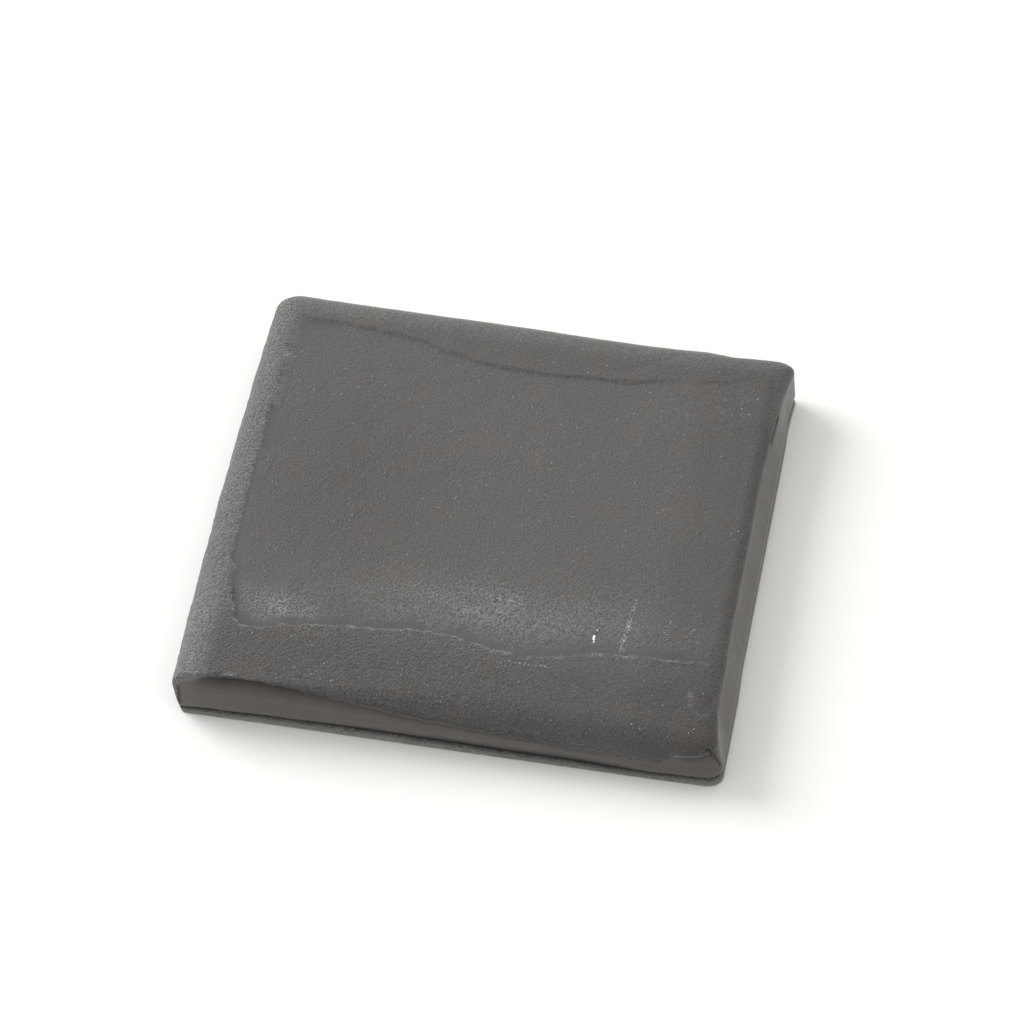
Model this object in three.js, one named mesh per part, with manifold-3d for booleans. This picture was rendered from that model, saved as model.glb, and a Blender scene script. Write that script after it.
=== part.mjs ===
import * as THREE from 'three';
import Module from 'manifold-3d';
import { mergeVertices } from 'three/addons/utils/BufferGeometryUtils.js';

// A slab of kneadable putty eraser, in millimetres. X is its width, Y its depth with +Y at the back, and
// Z its thickness. It lies on Z = 0, with the Z axis through its middle.
const WIDTH = 40;
const DEPTH = 38;
const THICKNESS = 4.8;

// The front, right and back sides are cut: a lip at the base, a torn seam, a wall and a rolled top edge.
const LIP_ROUNDING = 0.2;
const LIP_TOP = 0.7;
const LIP_LEAN = 0.05;
const SEAM_HEIGHT = 0.95;
const SEAM_DEPTH = 0.4;
const WALL_BOTTOM = 1.25;
const WALL_BOTTOM_INSET = 0.1;
const WALL_LEAN = { front: 0.3, right: 0.6, back: 0.2 };
const ROLL_RISE = 1.1;
const WALL_TOP = THICKNESS - ROLL_RISE;
const ROLL_RUN = { front: 2, right: 1.7, back: 1.1 };

// The left side is folded over: one long roll, tucked in at the base and bowed out along its length.
const FOLD_RUN = 2.4;
const FOLD_RISE = 1.6;
const FOLD_TUCK = 0.5;
const FOLD_BOW = 0.28;
const FOLD_MIDDLE = THICKNESS - FOLD_RISE;

// Corners seen from above, as radii, and how finely their arcs, the rolls and the bow are faceted.
const CORNER_RADIUS = { frontLeft: 0.7, frontRight: 1.2, backRight: 1.1, backLeft: 1.5 };
const CORNER_STEPS = 8;
const ROLL_STEPS = 8;
const BOW_STEPS = 12;

// The wrapping film pressed a shallow panel into the top. Its outline runs round from the front left
// corner: a wavy front, a narrow tab at the front right, a straight right side and a wavy back.
const PANEL_DEPTH = 0.18;
const PANEL_FRONT = [
  [-17.9, -6], [-17.1, -11], [-15.2, -13.8], [-12, -13.3], [-8, -12.6], [-2, -12.1], [3.5, -13.05],
  [8, -12.5], [11.5, -11.9], [16.6, -11.5],
];
const PANEL_TAB = [[17, -14], [17.4, -15.3], [18, -15.3], [18.15, -13]];
const PANEL_RIGHT = [[18.2, -8], [18.2, 8], [18.1, 14]];
const PANEL_BACK = [
  [16.3, 15.7], [12.5, 15.05], [6.5, 13.9], [-0.75, 13.9], [-5.5, 14.6], [-10, 15.9], [-15, 16.1],
  [-17.4, 15.6],
];
const PANEL_STEPS = 110;

const PUTTY = { color: 0x5f5f5c, roughness: 0.85, metalness: 0 };

// A roll is a quarter of an ellipse that climbs by its rise while it runs inwards to the flat top.
function rollInset(run, rise, height) {
  const climbed = Math.max(0, 1 - (THICKNESS - height) / rise);
  return run * (1 - Math.sqrt(Math.max(0, 1 - climbed * climbed)));
}

function between(profile, height) {
  const next = profile.findIndex(([level]) => level >= height);
  if (next <= 0) {
    return profile[0][1];
  }
  const [low, lowInset] = profile[next - 1];
  const [high, highInset] = profile[next];
  return lowInset + (highInset - lowInset) * (height - low) / (high - low);
}

function cutInset(side, height) {
  const wall = [
    [0, LIP_ROUNDING],
    [LIP_ROUNDING, 0],
    [LIP_TOP, LIP_LEAN],
    [SEAM_HEIGHT, SEAM_DEPTH],
    [WALL_BOTTOM, WALL_BOTTOM_INSET],
    [WALL_TOP, WALL_LEAN[side]],
    [THICKNESS, WALL_LEAN[side]],
  ];
  return between(wall, height) + rollInset(ROLL_RUN[side], ROLL_RISE, height);
}

function foldInset(height) {
  const tuck = Math.max(0, 1 - height / FOLD_MIDDLE);
  return FOLD_TUCK * tuck * tuck + rollInset(FOLD_RUN, FOLD_RISE, height);
}

function levelHeights() {
  const heights = [0, LIP_ROUNDING, LIP_TOP, SEAM_HEIGHT, WALL_BOTTOM, FOLD_MIDDLE];
  for (let step = 0; step <= ROLL_STEPS; step += 1) {
    heights.push(WALL_TOP + ROLL_RISE * Math.sin((Math.PI / 2) * (step / ROLL_STEPS)));
  }
  return heights;
}

// One level's outline, anticlockwise from the front left corner: four arcs, with the bow between the two
// on the left.
function levelOutline(height) {
  const left = -WIDTH / 2 + FOLD_BOW + foldInset(height);
  const right = WIDTH / 2 - cutInset('right', height);
  const front = -DEPTH / 2 + cutInset('front', height);
  const back = DEPTH / 2 - cutInset('back', height);
  const arcs = [
    { x: left, y: front, radius: CORNER_RADIUS.frontLeft, turn: 2 },
    { x: right, y: front, radius: CORNER_RADIUS.frontRight, turn: 3 },
    { x: right, y: back, radius: CORNER_RADIUS.backRight, turn: 0 },
    { x: left, y: back, radius: CORNER_RADIUS.backLeft, turn: 1 },
  ];
  const points = [];
  for (const { x, y, radius, turn } of arcs) {
    const centreX = x - Math.sign(x) * radius;
    const centreY = y - Math.sign(y) * radius;
    for (let step = 0; step <= CORNER_STEPS; step += 1) {
      const angle = (Math.PI / 2) * (turn + step / CORNER_STEPS);
      points.push(new THREE.Vector2(centreX + radius * Math.cos(angle), centreY + radius * Math.sin(angle)));
    }
  }
  const bowStart = points[points.length - 1];
  const bowEnd = points[0];
  for (let step = 1; step < BOW_STEPS; step += 1) {
    points.push(new THREE.Vector2().lerpVectors(bowStart, bowEnd, step / BOW_STEPS));
  }
  for (const point of points.filter(({ x }) => x < 0)) {
    point.x -= FOLD_BOW * (1 - (point.y / (DEPTH / 2)) ** 2);
  }
  return points;
}

// The whole slab before the panel is pressed in: the levels joined by bands, closed by two flat faces.
function slabGeometry() {
  const heights = levelHeights();
  const outlines = heights.map(levelOutline);
  const count = outlines[0].length;
  const positions = [];
  outlines.forEach((outline, level) => {
    outline.forEach((point) => positions.push(point.x, point.y, heights[level]));
  });
  const underside = positions.length / 3;
  positions.push(0, 0, 0);
  const top = underside + 1;
  positions.push(0, 0, THICKNESS);
  const triangles = [];
  const topLevel = heights.length - 1;
  for (let i = 0; i < count; i += 1) {
    const j = (i + 1) % count;
    for (let level = 0; level < topLevel; level += 1) {
      const low = level * count;
      const high = low + count;
      triangles.push(low + i, low + j, high + j);
      triangles.push(low + i, high + j, high + i);
    }
    triangles.push(underside, j, i);
    triangles.push(top, topLevel * count + i, topLevel * count + j);
  }
  const geometry = new THREE.BufferGeometry();
  geometry.setAttribute('position', new THREE.Float32BufferAttribute(positions, 3));
  geometry.setIndex(triangles);
  return geometry;
}

// The block that the film pressed into the top: the panel's smooth outline, from its floor upwards.
function panelGeometry() {
  const route = [...PANEL_FRONT, ...PANEL_TAB, ...PANEL_RIGHT, ...PANEL_BACK];
  const corners = route.map(([x, y]) => new THREE.Vector3(x, y, 0));
  const curve = new THREE.CatmullRomCurve3(corners, true, 'centripetal');
  const outline = curve.getPoints(PANEL_STEPS).slice(0, PANEL_STEPS);
  const shape = new THREE.Shape(outline.map((point) => new THREE.Vector2(point.x, point.y)));
  const geometry = new THREE.ExtrudeGeometry(shape, { depth: 2 * PANEL_DEPTH, bevelEnabled: false });
  geometry.translate(0, 0, THICKNESS - PANEL_DEPTH);
  return geometry;
}

function solidOf(wasm, geometry) {
  const bare = geometry.clone();
  bare.deleteAttribute('normal');
  bare.deleteAttribute('uv');
  const merged = mergeVertices(bare);
  return new wasm.Manifold(new wasm.Mesh({
    numProp: 3,
    vertProperties: new Float32Array(merged.attributes.position.array),
    triVerts: new Uint32Array(merged.index.array),
  }));
}

function geometryOf(solid) {
  const mesh = solid.getMesh();
  const geometry = new THREE.BufferGeometry();
  geometry.setAttribute('position', new THREE.BufferAttribute(new Float32Array(mesh.vertProperties), 3));
  geometry.setIndex(new THREE.BufferAttribute(new Uint32Array(mesh.triVerts), 1));
  geometry.computeVertexNormals();
  return geometry;
}

function puttySlab(wasm) {
  const pressed = solidOf(wasm, slabGeometry()).subtract(solidOf(wasm, panelGeometry()));
  const mesh = new THREE.Mesh(geometryOf(pressed), new THREE.MeshStandardMaterial(PUTTY));
  mesh.name = 'putty_slab';
  return mesh;
}

const wasm = await Module();
wasm.setup();

const eraser = new THREE.Group();
eraser.add(puttySlab(wasm));

export default eraser;
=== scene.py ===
import itertools
import math

import bmesh
import bpy
import numpy as np
from mathutils import Matrix, Vector
from mathutils.bvhtree import BVHTree


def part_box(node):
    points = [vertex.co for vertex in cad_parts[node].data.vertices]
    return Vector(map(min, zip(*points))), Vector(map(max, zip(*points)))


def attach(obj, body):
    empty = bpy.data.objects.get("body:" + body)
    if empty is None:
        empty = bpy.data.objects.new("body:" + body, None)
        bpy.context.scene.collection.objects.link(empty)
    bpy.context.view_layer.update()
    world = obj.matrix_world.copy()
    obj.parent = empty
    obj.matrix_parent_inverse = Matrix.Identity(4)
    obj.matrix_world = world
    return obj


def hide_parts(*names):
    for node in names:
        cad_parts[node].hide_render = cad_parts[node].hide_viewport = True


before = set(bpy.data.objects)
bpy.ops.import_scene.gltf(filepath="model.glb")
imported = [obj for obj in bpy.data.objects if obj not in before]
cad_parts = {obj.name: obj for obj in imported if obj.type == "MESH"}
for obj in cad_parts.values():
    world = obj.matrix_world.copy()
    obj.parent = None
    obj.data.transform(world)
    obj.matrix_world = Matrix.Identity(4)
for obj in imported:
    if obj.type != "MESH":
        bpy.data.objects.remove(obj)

# A slab of charcoal grey kneadable eraser on a white table. Shapes are worked out in millimetres, in the
# frame's axes, and become metres when a mesh is made.
MM = 0.001
X, Y, Z = range(3)
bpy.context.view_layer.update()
SLAB_LOW, SLAB_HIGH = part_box("putty_slab")
WIDTH, DEPTH, THICKNESS = (SLAB_HIGH - SLAB_LOW) / MM
HALF_WIDTH = WIDTH / 2
HALF_DEPTH = DEPTH / 2

# The camera looks along the slab's depth from a little to the right, with a long lens.
CAMERA_ELEVATION = math.radians(49.83)
CAMERA_AZIMUTH = math.radians(10.18)
CAMERA_DISTANCE = 9.77 * WIDTH
CAMERA_AIM_RIGHT = 0.037 * WIDTH
CAMERA_AIM_UP = 0.034 * WIDTH
CAMERA_LENS = 186.5
CAMERA_SENSOR = 36
CAMERA_CLIP = (0.01, 10)

# How finely the skin is divided: the sides, half a corner, and the rows of the walls and rolls. The sides
# are divided more finely round some spots, each a place from 0 to 1, a reach and a gain.
SEGMENTS_X = 250
SEGMENTS_Y = 220
HALF_CORNER = 11
RING_SIZE = 2 * (SEGMENTS_X + SEGMENTS_Y)
INSIDE_SHAPE = (SEGMENTS_X - 1, SEGMENTS_Y - 1)
UNDERCUT_ROWS = 5
WALL_ROWS = 7
ROLL_ROWS = 13
DENSE_SPOTS_X = ((0.02, 0.03, 0.5), (0.97, 0.03, 0.4))
DENSE_SPOTS_Y = ((0.15, 0.05, 1.6), (0.89, 0.05, 0.9))
SPREAD_SAMPLES = 2000

# The outline from above. Corners run front left, front right, back right, back left.
SIDES = ("front", "right", "back", "left")
OUTER_RADII = (0.35, 1.2, 0.9, 1.5)
INNER_RADII = (0.3, 0.6, 0.6, 0.6)
INNER_INSET = {"left": 2.9, "right": 3.1, "back": 1.9}
LEFT_BOW = 0.28
LEFT_BULGE = 0.17
BACK_LINE = (
    (-20, 0.22), (-12, 0.14), (0, -0.04), (7, -0.18), (11, -0.22), (13.5, 0), (15.8, -0.3), (17, -0.15),
    (18.6, 0),
)
RIGHT_LINE = ((-17, 0.12), (-11, 0.12), (-8, 0), (13.5, 0), (15.5, -0.08), (17, 0), (18.5, 0.1))
FRONT_LEFT_ANGLE = 225
QUARTER_TURN = 90

# The cut sides: a lip at the base, a torn seam, a wall, the edge of the top skin, and a roll to the top.
# Seen from the front at an angle, a point set in by some amount looks higher by the view slope times it.
VIEW_SLOPE = 1.19
LIP_HEIGHT = 0.5
LIP_FOOT = {"front": 0.14, "right": 0.03, "back": 0.1}
LIP_SHELF = {"front": 0.45, "right": 0.25, "back": 0.3}
WALL_INSET = 0.1
SEAM_DEPTH = {"front": 0.5, "right": 0.3, "back": 0.4}
SEAM_OPENING = 0.16
SIDE_UNDERCUT = 0.5
BACK_LEAN = 0.2
RIGHT_LEAN = ((-18.8, 0.45), (-17.5, 0.65), (-15.5, 1), (9, 1), (14, 0.6), (18.5, 0.2))
SKIN_EDGE = {"right": 3.75, "back": 3.7}
ROLL_RUN = {"right": 1.7, "back": 1.1}
ROLL_POWER = 2.3
ROLL_EASE = 1.5
FRONT_RIDGE = ((-19, 1.1), (-12, 1.3), (-8, 1.6), (-2, 1.68), (9, 1.68), (12, 1.5), (15, 1.1), (19, 1.1))
SEAM_CENTRE = (
    (-18, 0.95), (-15, 1.05), (-8, 1.1), (-4, 1.12), (-2, 1.05), (1, 1.07), (4, 0.97), (9, 1), (12, 0.9),
    (14, 0.9), (15.5, 1), (19, 1.05),
)
SEAM_GAPE = (
    (-18, 0.12), (-12, 0.14), (-3, 0.14), (-1.5, 0.2), (2, 0.16), (5, 0.2), (10, 0.15), (13, 0.2), (16, 0.12),
)
SEAM_START = ((X, -19.6, -18.9),)
SKIN_EDGE_START = ((-19.6, 3.4), (-18.8, 3.85), (-17.5, 4.35), (-15.5, 4.66), (-13, 4.45), (-10, 4.2))
SKIN_EDGE_END = ((17, 3.2), (18.5, 3.35), (19.2, 3.7), (19.7, 3.95))
FRONT_SKIN_EDGE = (
    *SKIN_EDGE_START, (-8, 3.96), (-6, 3.75), (-4, 3.45), (-2, 3.15), (0, 3), (4, 2.7), (10, 2.4), (15, 2.4),
    (16.3, 2.9), *SKIN_EDGE_END,
)
FRONT_SKIN_INSET = (
    (-19.5, 0.14), (-17, 0.3), (-13, 0.32), (-8, 0.28), (-3, 0.2), (5, 0.14), (18, 0.14), (19.5, 0.3),
)
FRONT_OVERHANG = (
    (-18.8, 0), (-17.3, 0.32), (-10, 0.32), (-6, 0.2), (-2, 0.1), (4, 0.05), (8, 0), (16.5, 0), (18, 0.14),
    (19, 0.14),
)
FRONT_ROLL_RUN = ((-19, 0.12), (-14, 0.15), (-10, 0.45), (-6, 1), (-2, 1.7), (4, 2), (15, 2), (19, 1.2))
FRONT_ROLL_MARGIN = 0.75

# The rows of a cut side, from the lip's foot to the start of the roll: steps in, and up or down.
BASE_ROWS = ((0.12, 0), (0.04, 0.03), (0, 0.1))
LIP_MIDDLE_LEAN = 0.02
LIP_TOP_LEAN = 0.1
LIP_TOP_ROWS = ((0.05, -0.07), (LIP_TOP_LEAN, -0.01))
SHELF_RISES = (0.02, 0.04, 0.05)
ROOF_DROPS = (0.02, 0.01)
SEAM_LEAST_GAP = 0.1
UNDERCUT_LEAST = 0.3
UNDERCUT_STEP = 0.02
UNDERCUT_POWER = 1.2
RIDGE_BAND = 0.12
OVERHANG_POWER = 4
OVERHANG_KEPT = 0.4
SKIN_EDGE_BAND = 0.03
ROLL_START = 0.06

# The folded side: tucked in at the base, then one long roll. Its share of the front face's left end, and
# the heights that it gives the rows there, fade along X.
FOLD_TUCK = 0.5
FOLD_TUCK_POWER = 1.6
FOLD_MIDDLE = 3.2
FOLD_ROLL_GAP = 0.03
FOLD_RUN = ((-19, 2.7), (0, 2.4), (19, 1.8))
UNFOLDED = ((X, -19.7, -14.7),)
LIFTED = ((X, -19.9, -18.6),)

# The top falls away gently towards three sides: how far it drops, over which distance. Below the height
# that lowering starts from, the slab keeps its shape.
FRONT_DROP = ((-20, 0.04), (-14, 0.08), (-8, 0.25), (0, 0.4), (20, 0.42))
CROWN_DROP = {"right": 0.12, "back": 0.2}
CROWN_REACH = {"front": 5.6, "right": 2.6, "back": 4}
CROWN_POWER = 2.2
LOWERED_FROM = 0.3 * THICKNESS

# The panel that the wrapping film pressed into the top, anticlockwise from its left side's front end. Its
# step fades in places: the share of its depth that is lost, and where.
PANEL_DEPTH = 0.16
PANEL_OUTLINE = (
    (-17.9, -6.5), (-17.5, -8.5), (-17.1, -11), (-16.3, -13.3), (-14.9, -13.9), (-12.4, -13.3), (-10, -12.9),
    (-6, -12.4), (-2, -12.1), (0.8, -12.5), (3.5, -13.05), (6.5, -12.9), (9.5, -12.1), (13, -11.8),
    (16.6, -11.5), (18.3, -11.3), (18.8, -10), (18.8, 0), (18.6, 13), (17.9, 16.2), (16.2, 15.9),
    (14.5, 15.25), (10.5, 14.75), (8, 14.25), (4.5, 14), (-0.75, 13.9), (-5.5, 14.6), (-8.2, 15.5), (-12, 16),
    (-16.4, 16.25), (-17.6, 15.6), (-18, 14), (-18, 4),
)
PANEL_CURVE_STEPS = 8
PANEL_STEP = (-0.06, 0.1)
PANEL_FADES = (
    (0.8, (X, 17.4, 18.4)),
    (0.55, (Y, -8, -11), (X, -15, -13)),
    (0.75, (Y, 8, 13), (X, 8, 13)),
    (0.45, (Y, -8, -11), (X, -3, 5)),
    (0.2, (X, -14, -17)),
)
TOOTHED = ((Y, -9, -11), (X, 17, 16.5))
TOOTH_SIZE = 0.04
FRONT_TOOTH_SIZE = 0.1
RIM_HEIGHT = 0.02
RIM_PLACE = 0.2
RIM_WIDTH = 0.14

# The tab that the film pressed faintly into the front right corner.
TAB_LINE = ((16.95, -14.2), (17.05, -15.4), (17.5, -16.1), (18.2, -16.15), (18.7, -15.5), (18.8, -14.2))

# Every wander of a shape or tint, as layers of noise: strength, size of the cells and seed.
WANDERS = {
    "seam": ((0.04, 1.4, 11), (0.035, 0.35, 12)),
    "gape": ((0.04, 0.8, 13), (0.04, 0.3, 14)),
    "skin_edge": ((0.04, 1.1, 15),),
    "skin_inset": ((0.03, 0.7, 16),),
    "plain_lip": ((0.04, 1.5, 17), (0.03, 0.4, 18)),
    "plain_opening": ((0.05, 0.6, 19),),
    "plain_skin_edge": ((0.1, 4, 20),),
    "teeth": ((1, 0.26, 21),),
    "panel_line": ((0.07, 1.1, 22),),
    "crown": ((0.03, 5, 23),),
    "ridge": ((0.05, 1.8, 24),),
    "swell": ((0.03, 2.6, 31), (0.015, 1, 32)),
    "grain": ((0.009, 0.45, 33), (0.007, 0.27, 34)),
    "band": ((0.5, 1.2, 41),),
    "rim": ((1, 0.5, 42),),
    "streaks": ((1, 0.4, 43),),
    "patch": ((0.4, 0.5, 44),),
    "sheen": ((0.45, 0.8, 45),),
}
LATTICE = 64


def smoothstep(low, high, value):
    part = np.clip((value - low) / (high - low), 0, 1)
    return part * part * (3 - 2 * part)


def zone(points, ramps):
    """A share from 0 to 1: smooth ramps, each an axis, where it is 0 and where it is 1, multiplied."""
    share = np.ones(len(points))
    for axis, empty, full in ramps:
        share *= smoothstep(empty, full, points[:, axis])
    return share


def through(table, value):
    """A value read off a table of (place, value) pairs."""
    places, values = zip(*table)
    return np.interp(value, places, values)


def bell(distance, width):
    return np.exp(-((distance / width) ** 2))


def noise(points, cell, seed):
    """Smooth noise from -1 to 1 at points in space, with one random value for each cell."""
    lattice = np.random.default_rng(seed).uniform(-1, 1, (LATTICE, LATTICE, LATTICE))
    scaled = np.asarray(points) / cell
    base = np.floor(scaled).astype(int)
    part = smoothstep(0, 1, scaled - base)
    total = np.zeros(len(scaled))
    for corner in itertools.product((0, 1), repeat=3):
        offset = np.array(corner)
        index = (base + offset) % LATTICE
        weight = np.prod(np.where(offset == 1, part, 1 - part), axis=1)
        total += weight * lattice[index[:, 0], index[:, 1], index[:, 2]]
    return total


def wander(points, name):
    return sum(strength * noise(points, cell, seed) for strength, cell, seed in WANDERS[name])


def flattened(places):
    """Places seen from above, as points at height 0."""
    return np.column_stack((places[:, X], places[:, Y], np.zeros(len(places))))


def add_object(name, data):
    item = bpy.data.objects.new(name, data)
    bpy.context.scene.collection.objects.link(item)
    return item


def new_material(name):
    material = bpy.data.materials.new(name)
    material.use_nodes = True
    return material, material.node_tree, material.node_tree.nodes["Principled BSDF"]


def fill_inputs(tree, node, inputs):
    """Links or sets a node's inputs, given by name or number."""
    for name, value in inputs.items():
        if isinstance(value, bpy.types.NodeSocket):
            tree.links.new(value, node.inputs[name])
        else:
            node.inputs[name].default_value = value


def make_camera():
    back = Vector((
        math.sin(CAMERA_AZIMUTH) * math.cos(CAMERA_ELEVATION),
        -math.cos(CAMERA_AZIMUTH) * math.cos(CAMERA_ELEVATION),
        math.sin(CAMERA_ELEVATION),
    ))
    right = Vector((math.cos(CAMERA_AZIMUTH), math.sin(CAMERA_AZIMUTH), 0))
    up = back.cross(right)
    aim = Vector((0, 0, THICKNESS / 2)) + right * CAMERA_AIM_RIGHT + up * CAMERA_AIM_UP
    data = bpy.data.cameras.new("camera")
    data.lens = CAMERA_LENS
    data.sensor_width = CAMERA_SENSOR
    data.clip_start, data.clip_end = CAMERA_CLIP
    camera = add_object("camera", data)
    place = Matrix((right, up, back)).transposed().to_4x4()
    place.translation = (aim + back * CAMERA_DISTANCE) * MM
    camera.matrix_world = place
    bpy.context.scene.camera = camera


make_camera()


# --- Light and floor, in metres ---

KEY_DIRECTION = Vector((-0.79, 0.28, 0.55)).normalized()
KEY_DISTANCE = 0.7
KEY_SIZE = 0.44
KEY_POWER = 4.9
SKY_COLOUR = (1, 0.985, 0.96, 1)
FLOOR_SIZE = 3
FLOOR_GAP = 0.00001
FLOOR_COLOUR = (0.75, 0.75, 0.745, 1)
FLOOR_ROUGHNESS = 0.9
FLOOR_SPECULAR = 0.1


def make_light():
    data = bpy.data.lights.new("window", "AREA")
    data.shape = "DISK"
    data.size = KEY_SIZE
    data.energy = KEY_POWER
    lamp = add_object("window", data)
    lamp.location = KEY_DIRECTION * KEY_DISTANCE
    lamp.rotation_euler = KEY_DIRECTION.to_track_quat("Z", "Y").to_euler()
    world = bpy.data.worlds.new("studio")
    world.use_nodes = True
    world.node_tree.nodes["Background"].inputs["Color"].default_value = SKY_COLOUR
    bpy.context.scene.world = world
    bpy.context.scene.view_settings.view_transform = "Standard"


def make_floor():
    half = FLOOR_SIZE / 2
    corners = [(x * half, y * half, -FLOOR_GAP) for x, y in ((-1, -1), (1, -1), (1, 1), (-1, 1))]
    data = bpy.data.meshes.new("floor")
    data.from_pydata(corners, [], [(0, 1, 2, 3)])
    paper, tree, surface = new_material("white_paper")
    fill_inputs(tree, surface, {
        "Base Color": FLOOR_COLOUR, "Roughness": FLOOR_ROUGHNESS, "Specular IOR Level": FLOOR_SPECULAR,
    })
    data.materials.append(paper)
    add_object("floor", data)


make_light()
make_floor()


# --- The slab's skin: outlines and side profiles ---

def spaced(count, dense_spots):
    """Places from 0 to 1, closer together round the dense spots."""
    fine = np.linspace(0, 1, SPREAD_SAMPLES)
    density = np.ones_like(fine)
    for place, reach, gain in dense_spots:
        density += gain * bell(fine - place, reach)
    total = np.cumsum(density)
    total = (total - total[0]) / (total[-1] - total[0])
    return np.interp(np.linspace(0, 1, count + 1), total, fine)


X_SPREAD = spaced(SEGMENTS_X - 2 * HALF_CORNER, DENSE_SPOTS_X)
Y_SPREAD = spaced(SEGMENTS_Y - 2 * HALF_CORNER, DENSE_SPOTS_Y)


def half_arc(centre, radius, start):
    """Points round half a corner, from an angle in degrees."""
    angles = np.radians(np.linspace(start, start + QUARTER_TURN / 2, HALF_CORNER + 1))
    return np.column_stack((centre[0] + radius * np.cos(angles), centre[1] + radius * np.sin(angles)))


def ring(left, front, right, back, radii):
    """A rounded rectangle, anticlockwise from the middle of its front left corner."""
    corners = np.array(((left, front), (right, front), (right, back), (left, back)))
    centres = corners - np.sign(corners) * np.array(radii)[:, None]
    spreads = (X_SPREAD, Y_SPREAD, 1 - X_SPREAD[::-1], 1 - Y_SPREAD[::-1])
    points = []
    for side in range(len(SIDES)):
        after = (side + 1) % len(SIDES)
        middle_angle = FRONT_LEFT_ANGLE + QUARTER_TURN * side
        leaving = half_arc(centres[side], radii[side], middle_angle)
        arriving = half_arc(centres[after], radii[after], middle_angle + QUARTER_TURN / 2)
        spread = spreads[side][:, None]
        straight = leaving[-1] + (arriving[0] - leaving[-1]) * spread
        points.append(np.vstack((leaving[:-1], straight, arriving[1:-1])))
    return np.vstack(points)


def side_weights():
    """How far each place round the ring belongs to each side: 1 along it, and shared at its corners."""
    counts = (SEGMENTS_X, SEGMENTS_Y, SEGMENTS_X, SEGMENTS_Y)
    weights = {name: np.zeros(RING_SIZE) for name in SIDES}
    start = 0
    for side, count in enumerate(counts):
        steps = np.arange(count)
        nearest = np.minimum(steps, count - steps)
        own = 0.5 + 0.5 * np.sin(0.5 * np.pi * np.clip(nearest / HALF_CORNER, 0, 1))
        before = SIDES[side - 1]
        after = SIDES[(side + 1) % len(SIDES)]
        first_half = steps < count / 2
        places = slice(start, start + count)
        weights[SIDES[side]][places] += own
        weights[before][places] += (1 - own) * first_half
        weights[after][places] += (1 - own) * ~first_half
        start += count
    return weights


def outlines():
    """The slab's greatest outline from above, and the ring where its flat top begins."""
    outer = ring(-HALF_WIDTH, -HALF_DEPTH, HALF_WIDTH, HALF_DEPTH, OUTER_RADII)
    inner = ring(
        -HALF_WIDTH + INNER_INSET["left"], -HALF_DEPTH, HALF_WIDTH - INNER_INSET["right"],
        HALF_DEPTH - INNER_INSET["back"], INNER_RADII,
    )
    frontness = smoothstep(0, -HALF_DEPTH, inner[:, Y])
    inner[:, Y] += frontness * (through(FRONT_ROLL_RUN, inner[:, X]) + FRONT_ROLL_MARGIN)
    for outline in (outer, inner):
        leftness = smoothstep(0, -HALF_WIDTH, outline[:, X])
        outline[:, X] += leftness * (LEFT_BOW * (outline[:, Y] / HALF_DEPTH) ** 2 - LEFT_BULGE)
        backness = smoothstep(0, HALF_DEPTH, outline[:, Y])
        outline[:, Y] += backness * through(BACK_LINE, outline[:, X])
        rightness = smoothstep(0, HALF_WIDTH, outline[:, X])
        outline[:, X] += rightness * through(RIGHT_LINE, outline[:, Y])
    return outer, inner


def roll_rows(run, rise):
    """Insets and climbs along a roll, from upright to level, with no sudden bend at either end."""
    part = np.arange(ROLL_ROWS + 1)[:, None] / ROLL_ROWS
    angle = 0.5 * np.pi * (1 - (1 - part) ** ROLL_EASE)
    inward = 1 - np.cos(angle) ** (2 / ROLL_POWER)
    inward[-1] = 1
    climb = np.sin(angle) ** (2 / ROLL_POWER)
    return run * inward, rise * climb


def front_sizes(along):
    """What varies along the front side."""
    x = along[:, X]
    gape = through(SEAM_GAPE, x) + wander(along, "gape")
    seam = through(SEAM_CENTRE, x) + wander(along, "seam") - VIEW_SLOPE * LIP_SHELF["front"]
    return {
        "foot": LIP_FOOT["front"],
        "lip": seam - 0.5 * gape,
        "shelf": LIP_SHELF["front"],
        "roof": seam + 0.5 * gape,
        "seam_depth": SEAM_DEPTH["front"] * zone(along, SEAM_START),
        "ridge": through(FRONT_RIDGE, x) + wander(along, "ridge"),
        "skin_edge": through(FRONT_SKIN_EDGE, x) + wander(along, "skin_edge"),
        "skin_inset": through(FRONT_SKIN_INSET, x) + wander(along, "skin_inset"),
        "overhang": through(FRONT_OVERHANG, x),
        "run": through(FRONT_ROLL_RUN, x),
    }


def plain_sizes(side, along):
    """The same for the right or back side, where they vary little."""
    lip = LIP_HEIGHT + wander(along, "plain_lip")
    return {
        "foot": LIP_FOOT[side],
        "lip": lip,
        "shelf": LIP_SHELF[side],
        "roof": lip + SEAM_OPENING + wander(along, "plain_opening"),
        "seam_depth": SEAM_DEPTH[side],
        "ridge": lip + SEAM_OPENING + SIDE_UNDERCUT,
        "skin_edge": SKIN_EDGE[side] + wander(along, "plain_skin_edge"),
        "skin_inset": through(RIGHT_LEAN, along[:, Y]) if side == "right" else BACK_LEAN,
        "overhang": 0,
        "run": ROLL_RUN[side],
    }


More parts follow.
